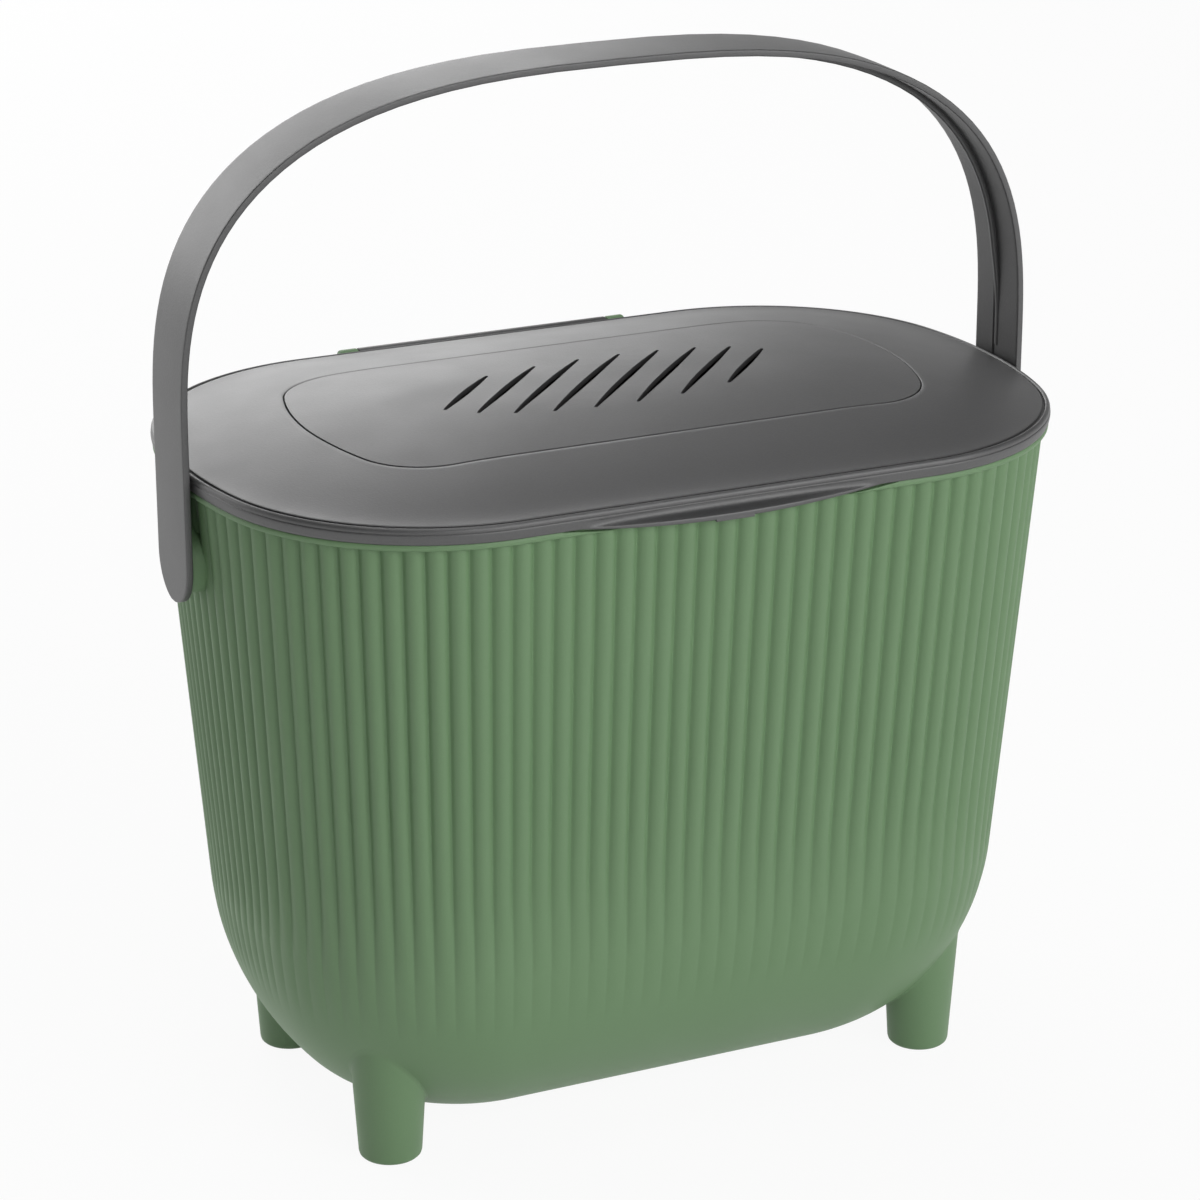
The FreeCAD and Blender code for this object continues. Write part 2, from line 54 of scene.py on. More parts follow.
# plan of the lid's edge, which the bucket's outlines are set in from
LID_HALF_LENGTH = 150.6
LID_HALF_DEPTH = 97.0
CORNER = 76.0
END_BOW = 170.0
CORNER_EASE = 0.64
LEAST_CORNER_RISE = 3.0

# bucket
RIM = 229.0
BAND_FOOT = 226.7
BAND_RUNOUT = 1.0
RIB_TOP = 226.65
WALL_TOP = 226.4
WALL_INSET = 2.2
WALL = 2.4
WALL_SLOPE = math.tan(math.radians(4.46))
BASE_RUN = 59.0
BASE_RISE = 78.0
BASE_CENTRE = 82.3
UNDERSIDE = 6.7
FLOOR_TOP = 9.3
INSIDE_STEPS = 10
OUTSIDE_STEPS = 30
WALL_STEPS = 5
RIBS = 118
REED_SHARE = 0.92
REED_POWER = 2.2
REED_STEPS = (-1, -0.9, -0.7, -0.36, 0, 0.36, 0.7, 0.9, 1)
REED_EDGE = 0.95
RIB_POINTS = len(REED_STEPS) + 1
RIB_RELIEF = 1.8
RIB_FADE_HIGH = 74.0
RIB_FADE_LOW = 48.0
NOTCH_HALF_LENGTH = 59.7
NOTCH_DROP = 3.4
CUT_SPACING = 0.02
FOOT_X = 100.8
FOOT_Y = 47.2
FOOT_RADIUS = 10.6
FOOT_FLARE = 0.0613
FOOT_TOE = ((6.0, 0), (8.9, 0), (9.8, 0.3), (10.4, 0.9), (10.68, 1.9))
FOOT_PROBE = 3.0
FOOT_BLEND = 0.9
BLEND_START = 1.44
BLEND_END = 1.08
BLEND_SINK = 0.15
FOOT_ROOT = 1.5
FOOT_SPOTS = 64

# handle bosses, pivots and hinge
BOSS_BACK = 142.7
BOSS_FACE = 150.8
BOSS_RADIUS = 11.5
BOSS_EDGE = 0.6
BOSS_SPOTS = 72
PIVOT = 203.2
STUD_HOLE = 4.05
HINGE_Y = 102.2
HINGE_Z = 229.6
EAR_NEAR = 48.2
EAR_FAR = 54.9
EAR_RADIUS = 3.9
EAR_EDGE = 0.6
WEB_SIDE = 0.05
WEB_ROOT = 93.0
WEB_BOTTOM = 225.75
WEB_TOP = 228.6
WEB_EDGE = 0.5
BARREL_RADIUS = 3.9
BARREL_END = 47.9
BARREL_EDGE = 0.4
LEAF_ROOT = 95.4
LEAF_TOP = 232.1
LEAF_BOTTOM = 229.9
LEAF_EDGE = 0.5
PIN_HOLE = 1.55
HINGE_SPOTS = 40

# lid
CREASE = 234.5
DOME_INSET = 2.9
DOME_SPAN = 87.1
DOME_HEIGHT = 9.9
DOME_POWER = 1.8
FLAT_RIM = 0.45
FLAT_RIM_REACH = 8.0
DOME_HALVINGS = 22
DOME_RIM = 3.4
DOME_SHARES = (0.96, 0.88, 0.76, 0.62, 0.48, 0.34, 0.22, 0.14, 0.08, 0.04)
UNDER_SHARES = (0.1, 0.3, 0.5, 0.7, 0.9)
LID_WALL = 2.2
PANEL = (106.8, 53.2, 26.0, 110.0)
PANEL_EDGE = 0.45
LEDGE = 238.24
LEDGE_WIDTH = 3.0
LEDGE_EDGE = 0.3
TRAY_FLOOR = 231.4
TRAY_UNDER = 229.4
TRAY_WALL = 1.8
TRAY_EDGE = 0.4
SCOOP_HALF_LENGTH = 52.7
TAB = ((-7, -98.6, 225.5), (6.5, -97.4, 226.6))
TAB_EDGE = 0.2
LID_SPOTS = 320

# filter pad: growth past the panel's outline, and height over the tray's floor
PAD_PROFILE = (
    (-30, 0), (-4.8, 0), (-4.2, 0.5), (-4.0, 1.6), (-4.0, 4.2),
    (-4.3, 5.2), (-5.2, 5.7), (-12, 5.9), (-24, 6.0),
)
PAD_SPOTS = 160

# handle
STRAP_OUTSIDE = 153.6
STRAP_HALF_WIDTH = 14.0
STRAP_THICKNESS = 2.5
STRAP_CROWN = 0.2
STRAP_EDGE = 0.5
SPRING = 244.5
ARCH_RISE = 111.3
ARCH_SQUARENESS = 2.81
TIP_STEPS = 10
LEG_STEPS = 6
ARCH_STEPS = 32
CORNER_STEPS = 4
RIB_START = 236.0
RIB_RAMP = (246.0, 277.0)
RIB_LOW = 0.3
RIB_HIGH = 2.0
RIB_ROOT = 0.5
RIB_SQUARENESS = 0.5
RIB_SPOTS = 16
RIB_GROOVE = 0.9
GROOVE_RAMP = (230.0, 238.0)
# points across the strap's faces, as shares of its flat half width; a 1 on the inner face is in the groove
INNER_FACE = ((0.93, 0), (0.5, 0), (0.19, 0), (0.16, 1), (0.09, 1), (0.06, 0), (-0.5, 0), (-0.93, 0))
OUTER_FACE = (-0.93, -0.5, 0, 0.5, 0.93)

# finishes, with depths in metres
FINE_GRAIN = 1400
BROAD_GRAIN = 40
POLISH_SWING = 0.05
GRAIN_DEPTH = 0.0001
FIBRE_DEPTH = 0.0006
FIBRE_DARK = 0.4
FIBRE_BRIGHT = 1.8

# stage and camera, in metres and degrees, with the lens in millimetres
FLOOR_HALF = 6.0
FLOOR_GLOW = 0.93
LID_AIM = 0.24
TOP_AIM = 0.2
FRONT_AIM = 0.12
LENS = 118.0
CAMERA_PLACE = (-0.5317, -1.14074 + FORWARD * MM, 0.62742)
CAMERA_DOWN = 20.148
CAMERA_TURN = 24.927


def oblong(half_length, half_depth, corner, end_bow):
    """Where a rounded oblong's corner arc and end arc are centred, and the angle at which they meet."""
    corner_y = half_depth - corner
    end_x = half_length - end_bow
    corner_x = end_x + math.sqrt((end_bow - corner) ** 2 - corner_y ** 2)
    return corner_x, corner_y, end_x, math.atan2(corner_y, corner_x - end_x)


def lid_outline(inset):
    half_depth = LID_HALF_DEPTH - inset
    corner = min(CORNER - CORNER_EASE * inset, half_depth - LEAST_CORNER_RISE)
    return LID_HALF_LENGTH - inset, half_depth, corner, END_BOW - inset


def panel_outline(growth):
    return tuple(size + growth for size in PANEL)


def outline_shares():
    """Shares of a quarter of the bucket's top edge that its straight side and its corner take."""
    outline = lid_outline(WALL_INSET)
    corner_x, _, _, join = oblong(*outline)
    lengths = (corner_x, outline[2] * (QUARTER_TURN - join), outline[3] * join)
    return lengths[0] / sum(lengths), lengths[1] / sum(lengths)


STRAIGHT_SHARE, CORNER_SHARE = outline_shares()


def round_point(spot, outline):
    """Point and outward direction at a spot, from 0 to 1, round an outline from the front's middle."""
    corner_x, corner_y, end_x, join = oblong(*outline)
    _, half_depth, corner, end_bow = outline
    quarter = int(spot * 4) % 4
    along = spot * 4 % 1
    if quarter in (1, 3):
        along = 1 - along
    if along < STRAIGHT_SHARE:
        angle = QUARTER_TURN
        place = Vector((corner_x * along / STRAIGHT_SHARE, half_depth))
    elif along < STRAIGHT_SHARE + CORNER_SHARE:
        angle = QUARTER_TURN - (QUARTER_TURN - join) * (along - STRAIGHT_SHARE) / CORNER_SHARE
        place = Vector((corner_x + corner * math.cos(angle), corner_y + corner * math.sin(angle)))
    else:
        angle = join * (1 - along) / (1 - STRAIGHT_SHARE - CORNER_SHARE)
        place = Vector((end_x + end_bow * math.cos(angle), end_bow * math.sin(angle)))
    sides = Vector((1 if quarter < 2 else -1, 1 if quarter in (1, 2) else -1))
    return place * sides, Vector((math.cos(angle), math.sin(angle))) * sides


def loft(skin, spots, rings, capped=True):
    """Adds a skin through rings, each a function that gives the point at a spot from 0 to 1 round it."""
    place = skin.verts.layers.int.get("place") or skin.verts.layers.int.new("place")
    verts = bmesh.ops.create_circle(skin, segments=spots, radius=1)["verts"]
    for vert in verts:
        vert[place] = round(spots * math.atan2(-vert.co.x, vert.co.y) / FULL_TURN) % spots
    edges = list({edge for vert in verts for edge in vert.link_edges})
    ends = [edges]
    for step, ring in enumerate(rings):
        if step:
            grown = bmesh.ops.extrude_edge_only(skin, edges=edges)["geom"]
            verts = [part for part in grown if isinstance(part, bmesh.types.BMVert)]
            fresh = set(verts)
            edges = [part for part in grown if isinstance(part, bmesh.types.BMEdge)]
            edges = [edge for edge in edges if fresh.issuperset(edge.verts)]
        for vert in verts:
            vert.co = ring(vert[place] / spots)
    ends.append(edges)
    if capped:
        for end in ends:
            bmesh.ops.contextual_create(skin, geom=end)


def piece(name, skin, body, nodes, material, sharp=35):
    """Finishes a mesh as a piece that stands for some nodes and rides on their body."""
    bmesh.ops.remove_doubles(skin, verts=skin.verts, dist=0.001)
    bmesh.ops.recalc_face_normals(skin, faces=skin.faces)
    skin.transform(INTO_FRAME)
    mesh = bpy.data.meshes.new(name)
    skin.to_mesh(mesh)
    skin.free()
    mesh.shade_smooth()
    mesh.set_sharp_from_angle(angle=math.radians(sharp))
    mesh.materials.append(material)
    thing = bpy.data.objects.new(name, mesh)
    bpy.context.scene.collection.objects.link(thing)
    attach(thing, body)
    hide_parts(*nodes)
    return thing


def rounded_block(skin, low, high, edge):
    made = bmesh.ops.create_cube(skin, size=1)["verts"]
    low, high = Vector(low), Vector(high)
    bmesh.ops.scale(skin, verts=made, vec=high - low)
    bmesh.ops.translate(skin, verts=made, vec=(low + high) / 2)
    edges = list({link for vert in made for link in vert.link_edges})
    bmesh.ops.bevel(skin, geom=edges, offset=edge, segments=3, profile=0.5, affect="EDGES", material=-1)


def bored_rod(skin, spots, centre, hole, radius, near, far, edge):
    """A rod along X with a hole through it and rounded ends."""
    def ring(x, reach):
        def point(spot):
            angle = FULL_TURN * spot
            return Vector((x, centre[0] + reach * math.cos(angle), centre[1] + reach * math.sin(angle)))
        return point

    towards = math.copysign(edge, far - near)
    rings = [
        ring(near, hole),
        ring(near, radius - edge),
        ring(near + EDGE_KNEE * towards, radius - EDGE_KNEE * edge),
        ring(near + towards, radius),
        ring(far - towards, radius),
        ring(far - EDGE_KNEE * towards, radius - EDGE_KNEE * edge),
        ring(far, radius - edge),
        ring(far, hole),
        ring(near, hole),
    ]
    loft(skin, spots, rings, capped=False)


def base_profile(skin_thickness, bottom, steps):
    """Insets, heights and tilts down the rounded base, whose profile is part of an ellipse."""
    run = BASE_RUN - skin_thickness
    rise = BASE_RISE - skin_thickness
    start = math.atan(WALL_SLOPE * rise / run)
    end = math.asin((BASE_CENTRE - bottom) / rise)
    wall_foot = BASE_CENTRE - rise * math.sin(start)
    foot_inset = WALL_INSET + skin_thickness + WALL_SLOPE * (WALL_TOP - wall_foot)
    reach = foot_inset + run * math.cos(start)
    profile = []
    for step in range(steps + 1):
        angle = start + (end - start) * step / steps
        tilt = math.atan2(run * math.sin(angle), rise * math.cos(angle))
        height = BASE_CENTRE - rise * math.sin(angle)
        profile.append((reach - run * math.cos(angle), height, QUARTER_TURN - tilt))
    return profile


def smooth_step(low, high, value):
    share = min(max((value - low) / (high - low), 0), 1)
    return share * share * (3 - 2 * share)


def rib_spot(spot):
    """Where a point goes round the bucket, and the share of the ribs' relief that it is sunk by there.

    Each rib is a groove's middle and then a round reed, and one reed is on the front's middle.
    """
    rib, step = divmod(round(spot * RIBS * RIB_POINTS), RIB_POINTS)
    if step == 0:
        return (rib + 0.5) / RIBS, 1.0
    across = REED_STEPS[step - 1]
    return (rib + 1 + across * REED_SHARE / 2) / RIBS, REED_EDGE * abs(across) ** REED_POWER


def bucket_ring(inset, height, tilt=0.0, relief=0.0):
    """A ring of the bucket, whose grooves are sunk along the wall's own normal."""
    def point(spot):
        round_spot, depth = rib_spot(spot)
        place, out = round_point(round_spot, lid_outline(inset))
        sunk = relief * depth
        place = place - out * (sunk * math.cos(tilt))
        return Vector((place.x, place.y, height + sunk * math.sin(tilt)))
    return point


def rim_ring(inset, height, order, relief):
    """A ring of the rim, whose band runs out in a dip at the front that makes room for the lid's lip.

    The rings that the dip cuts keep their order a little way apart.
    """
    level = bucket_ring(inset, height, 0, relief)
    bare = bucket_ring(WALL_INSET, height, 0, relief)

    def point(spot):
        place = level(spot)
        dip = NOTCH_DROP * max(1 - (place.x / NOTCH_HALF_LENGTH) ** 2, 0) if place.y < 0 else 0
        left = smooth_step(BAND_FOOT, BAND_FOOT + BAND_RUNOUT, RIM - dip)
        place = bare(spot).lerp(place, left)
        cut = RIM - dip - CUT_SPACING * order
        return Vector((place.x, place.y, min(height, cut)))
    return point


def add_bucket_wall(skin):
    inside_base = reversed(base_profile(WALL, FLOOR_TOP, INSIDE_STEPS))
    inner = [bucket_ring(inset, height) for inset, height, _ in inside_base]
    # inset and height up the rim's inner edge
    inside_edge = ((WALL_INSET + WALL, WALL_TOP), (4.35, 228.5), (4.1, RIM), (WALL_INSET + 0.1, RIM))
    inner += [bucket_ring(inset, height) for inset, height in inside_edge]
    # inset, height and the ribs' relief, down the rim's band and past its foot
    rim_profile = (
        (WALL_INSET, RIM, 0), (1.2, RIM, 0), (0.8, 228.9, 0), (0.6, 228.6, 0), (0.5, 228.1, 0),
        (0.55, 227.5, 0), (0.8, 227.1, 0), (1.3, 226.85, 0), (WALL_INSET, BAND_FOOT, 0),
        (WALL_INSET, RIB_TOP, RIB_RELIEF), (WALL_INSET, WALL_TOP, RIB_RELIEF),
    )
    rim = []
    for order, (inset, height, relief) in enumerate(rim_profile):
        rim.append(rim_ring(inset, height, order, relief))
    outer = []
    base = base_profile(0, UNDERSIDE, OUTSIDE_STEPS)
    foot_inset, foot_height, _ = base[0]
    for step in range(1, WALL_STEPS):
        share = step / WALL_STEPS
        inset = WALL_INSET + (foot_inset - WALL_INSET) * share
        outer.append(bucket_ring(inset, WALL_TOP + (foot_height - WALL_TOP) * share, 0, RIB_RELIEF))
    for inset, height, tilt in base:
        relief = RIB_RELIEF * smooth_step(RIB_FADE_LOW, RIB_FADE_HIGH, height)
        outer.append(bucket_ring(inset, height, tilt, relief))
    loft(skin, RIBS * RIB_POINTS, inner + rim + outer)


def add_foot(skin, surface, side_x, side_y):
    """A tapered foot whose top runs out into the rounded base in a small blend."""
    centre = Vector((side_x * FOOT_X, side_y * FOOT_Y, 0))

    def spoke(spot):
        return Vector((math.cos(FULL_TURN * spot), math.sin(FULL_TURN * spot), 0))

    def on_side(spot, height):
        return centre + spoke(spot) * (FOOT_RADIUS + FOOT_FLARE * height) + Vector((0, 0, height))

    def meets_base(spot):
        start = on_side(spot, FOOT_PROBE)
        return surface.ray_cast(start, on_side(spot, FOOT_PROBE + 1) - start)[0].z

    def bottom(radius, height):
        return lambda spot: centre + spoke(spot) * radius + Vector((0, 0, height))

    def side(drop):
        return lambda spot: on_side(spot, meets_base(spot) - drop)

    def spread(out, sink):
        def point(spot):
            start = on_side(spot, meets_base(spot)) + spoke(spot) * out
            start.z = 0
            hit = surface.ray_cast(start, Vector((0, 0, 1)))[0]
            return hit + Vector((0, 0, sink))
        return point

    def halfway(spot):
        return (side(0)(spot) * 2 + side(FOOT_BLEND)(spot) + spread(FOOT_BLEND, 0)(spot)) / 4

    rings = [bottom(radius, height) for radius, height in FOOT_TOE]
    rings += [side(BLEND_START), side(FOOT_BLEND), halfway, spread(FOOT_BLEND, 0)]
    rings += [spread(BLEND_END, BLEND_SINK), spread(FOOT_BLEND, FOOT_ROOT)]
    loft(skin, FOOT_SPOTS, rings)


def make_bucket(material):
    skin = bmesh.new()
    add_bucket_wall(skin)
    surface = BVHTree.FromBMesh(skin)
    for side_x in (-1, 1):
        for side_y in (-1, 1):
            add_foot(skin, surface, side_x, side_y)
        boss_ends = (side_x * BOSS_BACK, side_x * BOSS_FACE)
        bored_rod(skin, BOSS_SPOTS, (0, PIVOT), STUD_HOLE, BOSS_RADIUS, *boss_ends, BOSS_EDGE)
        ear_ends = (side_x * EAR_NEAR, side_x * EAR_FAR)
        bored_rod(skin, HINGE_SPOTS, (HINGE_Y, HINGE_Z), PIN_HOLE, EAR_RADIUS, *ear_ends, EAR_EDGE)
        left, right = sorted((side_x * (EAR_NEAR + WEB_SIDE), side_x * (EAR_FAR - WEB_SIDE)))
        rounded_block(skin, (left, WEB_ROOT, WEB_BOTTOM), (right, HINGE_Y, WEB_TOP), WEB_EDGE)
    piece("bucket_moulding", skin, "bucket", ("bucket",), material)


def inside_outline(x, y, outline):
    """Whether a point in the first quarter lies inside an outline."""
    corner_x, corner_y, end_x, join = oblong(*outline)
    _, half_depth, corner, end_bow = outline
    if x < corner_x:
        return y < half_depth
    if math.atan2(y - corner_y, x - corner_x) > join:
        return math.hypot(x - corner_x, y - corner_y) < corner
    return math.hypot(x - end_x, y) < end_bow


def dome_top(x, y):
    """Height of the lid's top: a low dome on the inset from the lid's edge, flatter close to its rim."""
    low, high = 0.0, DOME_SPAN
    for _ in range(DOME_HALVINGS):
        middle = (low + high) / 2
        if inside_outline(abs(x), abs(y), lid_outline(middle)):
            low = middle
        else:
            high = middle
    inset = max(low - DOME_INSET, 0)
    rise = DOME_HEIGHT * (1 - (1 - min(inset / DOME_SPAN, 1)) ** DOME_POWER)
    from_rim = inset / FLAT_RIM_REACH
    return CREASE + rise - FLAT_RIM * from_rim * math.exp(1 - from_rim)


def lid_ring(inset, height, scoop=None):
    """A ring of the lid's edge, which at the front passes into the finger scoop's own inset and height."""
    def point(spot):
        place, out = round_point(spot, lid_outline(inset))
        z = height
        if scoop and place.y < 0 and abs(place.x) < SCOOP_HALF_LENGTH:
            share = 1 - (place.x / SCOOP_HALF_LENGTH) ** 2
            place = place - out * ((scoop[0] - inset) * share)
            z += (scoop[1] - height) * share
        return Vector((place.x, place.y, z))
    return point


def between_ring(inset, growth, share, drop):
    """A ring on the dome, part of the way from the lid's edge to the filter panel's outline."""
    def point(spot):
        outer, _ = round_point(spot, lid_outline(inset))
        inner, _ = round_point(spot, panel_outline(growth))
        place = outer.lerp(inner, share)
        return Vector((place.x, place.y, dome_top(place.x, place.y) - drop))
    return point


def panel_ring(growth, height=None, drop=0.0):
    """A ring on the panel's outline, at a height or at a drop below the dome."""
    def point(spot):
        place, _ = round_point(spot, panel_outline(growth))
        z = dome_top(place.x, place.y) - drop if height is None else height
        return Vector((place.x, place.y, z))
    return point


def add_lid_shell(skin):
    rings = [
        panel_ring(-LEDGE_WIDTH, TRAY_FLOOR),
        panel_ring(-LEDGE_WIDTH, LEDGE - LEDGE_EDGE),
        panel_ring(LEDGE_EDGE - LEDGE_WIDTH, LEDGE),
        panel_ring(0, LEDGE),
        panel_ring(0, drop=0.5),
        panel_ring(0.12, drop=0.15),
        panel_ring(PANEL_EDGE, drop=0),
    ]
    rings += [between_ring(DOME_RIM, PANEL_EDGE, share, 0) for share in DOME_SHARES]
    # inset and height out from the dome: the crease, the bead and the parting line
    edge = (
        (DOME_RIM, 234.52), (3.1, 234.5), (2.86, 234.45), (2.71, 234.34), (2.67, 234.2), (2.73, 234.0),
        (2.78, 233.75), (2.66, 233.5), (2.42, 233.35), (2.15, 233.35), (1.97, 233.5), (1.86, 233.75),
        (1.75, 234.02), (1.55, 234.25), (1.3, 234.37), (1.1, 234.4), (0.85, 234.33), (0.6, 234.15),
        (0.36, 233.85), (0.2, 233.45), (0.14, 233.05), (0.15, 232.75), (0.27, 232.64), (0.27, 232.56),
        (0.12, 232.42), (0.04, 232.3),
    )
    rings += [lid_ring(inset, height) for inset, height in edge]
    # inset and height down the skirt and back up inside it, plain and in the middle of the finger scoop
    skirt = (
        ((0.0, 231.95), (0.02, 232.15)),
        ((0.0, 231.6), (0.2, 232.05)),
        ((0.02, 231.35), (1.2, 231.95)),
        ((0.05, 231.15), (2.2, 231.85)),
        ((0.07, 231.0), (2.45, 231.55)),
        ((0.1, 230.8), (2.45, 230.9)),
        ((0.13, 230.6), (2.35, 230.2)),
        ((0.17, 230.4), (2.05, 229.5)),
        ((0.2, 230.15), (1.5, 228.9)),
        ((0.25, 229.9), (0.8, 228.45)),
        ((0.3, 229.75), (0.0, 228.15)),
        ((0.35, 229.6), (-0.7, 227.95)),
        ((0.4, 229.5), (-1.25, 227.82)),
        ((0.45, 229.4), (-1.52, 227.7)),
        ((0.5, 229.3), (-1.65, 227.45)),
        ((0.55, 229.2), (-1.68, 227.0)),
        ((0.6, 229.1), (-1.6, 226.35)),
        ((0.75, 229.0), (-1.25, 226.05)),
        ((2.0, 229.0), (1.5, 226.05)),
        ((2.2, 229.0), (1.75, 226.3)),
        ((2.5, 229.0), (1.75, 228.2)),
        ((2.7, 229.0), (2.65, 229.0)),
    )
    rings += [lid_ring(*plain, scoop) for plain, scoop in skirt]
    inside = ((2.8, 229.0), (2.85, 231.6), (DOME_RIM, 232.2))
    rings += [lid_ring(inset, height) for inset, height in inside]
    rings += [between_ring(DOME_RIM, TRAY_WALL, share, LID_WALL) for share in UNDER_SHARES]
    rings += [
        panel_ring(TRAY_WALL, drop=LID_WALL),
        panel_ring(TRAY_WALL, TRAY_UNDER + TRAY_EDGE),
        panel_ring(TRAY_WALL - TRAY_EDGE, TRAY_UNDER),
    ]
    loft(skin, LID_SPOTS, rings)


def make_lid(material):
    skin = bmesh.new()
    add_lid_shell(skin)
    barrel_ends = (-BARREL_END, BARREL_END)
    bored_rod(skin, HINGE_SPOTS, (HINGE_Y, HINGE_Z), PIN_HOLE, BARREL_RADIUS, *barrel_ends, BARREL_EDGE)
    rounded_block(skin, (-BARREL_END, LEAF_ROOT, LEAF_BOTTOM), (BARREL_END, HINGE_Y, LEAF_TOP), LEAF_EDGE)
    rounded_block(skin, *TAB, TAB_EDGE)
    piece("lid_moulding", skin, "lid", ("lid",), material)


def make_cover(material):
    """The vented cover's solid, with its triangles joined so that the dome shades smoothly."""
    skin = bmesh.new()
    skin.from_mesh(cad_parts["filter_cover"].data)
    skin.transform(INTO_FRAME.inverted())
    nodes = ("filter_cover",)
    piece("vented_cover", skin, "filter_cover", nodes, material, sharp=25)


def make_filter_pad(material):
    """A flat felt pad, a little crowned, with soft edges."""
    skin = bmesh.new()
    loft(skin, PAD_SPOTS, [panel_ring(growth, TRAY_FLOOR + rise) for growth, rise in PAD_PROFILE])
    pad = piece("carbon_pad", skin, "lid", ("filter_pad",), material)


def arch_station(height_share):
    """A point of the arch's outer face and its outward direction, on a squared-off quarter ellipse."""
    up = math.sin(QUARTER_TURN * height_share ** (ARCH_SQUARENESS / 2)) ** (2 / ARCH_SQUARENESS)
    across = max(0, 1 - up ** ARCH_SQUARENESS) ** (1 / ARCH_SQUARENESS)
    power = ARCH_SQUARENESS - 1
    out = Vector((across ** power / STRAP_OUTSIDE, up ** power / ARCH_RISE)).normalized()
    return Vector((STRAP_OUTSIDE * across, SPRING + ARCH_RISE * up)), out


def strap_stations():
    """Places, outward directions and half widths along the strap, from its left tip to its right tip."""
    half = []
    for step in range(1, TIP_STEPS + 1):
        angle = QUARTER_TURN * step / TIP_STEPS
        height = PIVOT - STRAP_HALF_WIDTH * math.cos(angle)
        half.append((Vector((STRAP_OUTSIDE, height)), Vector((1, 0)), STRAP_HALF_WIDTH * math.sin(angle)))
    for step in range(1, LEG_STEPS):
        height = PIVOT + (SPRING - PIVOT) * step / LEG_STEPS
        half.append((Vector((STRAP_OUTSIDE, height)), Vector((1, 0)), STRAP_HALF_WIDTH))
    for step in range(ARCH_STEPS + 1):
        half.append((*arch_station(step / ARCH_STEPS), STRAP_HALF_WIDTH))
    mirror = Vector((-1, 1))
    left = [(place * mirror, out * mirror, width) for place, out, width in half[:-1]]
    return left + half[::-1]


def strap_section(half_width, groove=0.0):
    """Points round the strap's section, each across its width and in from its crowned outer face.

    The groove is in the inner face, close behind the stiffening rib.
    """
    edge = min(STRAP_EDGE, half_width / 2)
    flat = half_width - edge
    near, far = edge, STRAP_THICKNESS - edge
    points = []
    for corner, (side, depth) in enumerate(((1, near), (1, far), (-1, far), (-1, near))):
        for step in range(CORNER_STEPS + 1):
            angle = QUARTER_TURN * (corner + step / CORNER_STEPS)
            points.append((side * flat + edge * math.sin(angle), depth - edge * math.cos(angle)))
        if side == 1 and depth == far:
            points += [(share * flat, STRAP_THICKNESS - sunk * groove) for share, sunk in INNER_FACE]
    points += [(share * flat, 0) for share in OUTER_FACE]
    crowned = []
    for across, depth in points:
        crown = STRAP_CROWN * (across / STRAP_HALF_WIDTH) ** 2 * (1 - depth / STRAP_THICKNESS)
        crowned.append((across, depth + crown))
    return crowned


def strap_ring(place, out, half_width):
    section = strap_section(half_width, RIB_GROOVE * smooth_step(*GROOVE_RAMP, place.y))

    def point(spot):
        across, depth = section[round(spot * len(section))]
        flat = place - out * depth
        return Vector((flat.x, across, flat.y))
    return point


def rib_ring(place, out, height):
    """The stiffening rib's section, along the middle of the strap's inner face."""
    def point(spot):
        angle = FULL_TURN * spot
        across = math.copysign(abs(math.cos(angle)) ** RIB_SQUARENESS, math.cos(angle))
        inward = (1 - math.copysign(abs(math.sin(angle)) ** RIB_SQUARENESS, math.sin(angle))) / 2
        flat = place - out * (STRAP_THICKNESS - RIB_ROOT + inward * (height + RIB_ROOT))
        return Vector((flat.x, across, flat.y))
    return point


def make_handle(material):
    skin = bmesh.new()
    stations = strap_stations()
    loft(skin, len(strap_section(STRAP_HALF_WIDTH)), [strap_ring(*station) for station in stations])
    rib = []
    for place, out, _ in stations:
        if place.y > RIB_START:
            rise = smooth_step(*RIB_RAMP, place.y)
            rib.append(rib_ring(place, out, RIB_LOW + (RIB_HIGH - RIB_LOW) * rise))
    loft(skin, RIB_SPOTS, rib)
    nodes = ("handle", "handle_end_left", "handle_end_right")
    piece("strap_handle", skin, "handle", nodes, material)


